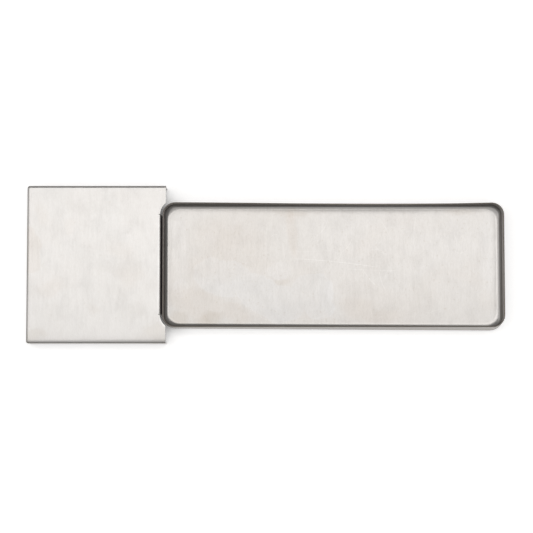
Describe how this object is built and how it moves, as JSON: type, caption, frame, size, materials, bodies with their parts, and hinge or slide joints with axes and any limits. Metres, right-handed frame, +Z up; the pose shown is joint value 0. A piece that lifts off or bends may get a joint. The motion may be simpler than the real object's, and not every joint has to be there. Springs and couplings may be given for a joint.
{
  "type": "pill counting tray",
  "caption": "Pill counting tray: a folded steel counting deck with a notch that holds the end of a long, shallow lift-out trough.",
  "frame": {"origin": "centre of the whole tray's footprint, on the table it stands on", "axes": "+X along the length, from the counting deck towards the trough's far end; +Y across it, towards the rear; +Z up"},
  "size_m": [0.287, 0.095, 0.0127],
  "materials": {
    "deck_steel": "fine brushed stainless steel, grain across the tray, faint handling marks",
    "weld_steel": "dressed weld, slightly darker than the sheet",
    "trough_steel": "fine brushed stainless steel with dried water stains and scratches"
  },
  "bodies": {
    "deck": {"counting_deck": "deck_steel", "corner_welds": "weld_steel"},
    "trough": {"pill_trough": "trough_steel"}
  },
  "joints": [
    {"name": "trough_lift", "type": "slide", "parent": "deck", "child": "trough", "axis": [0, 0, 1], "range_m": [0, 0.05]}
  ]
}
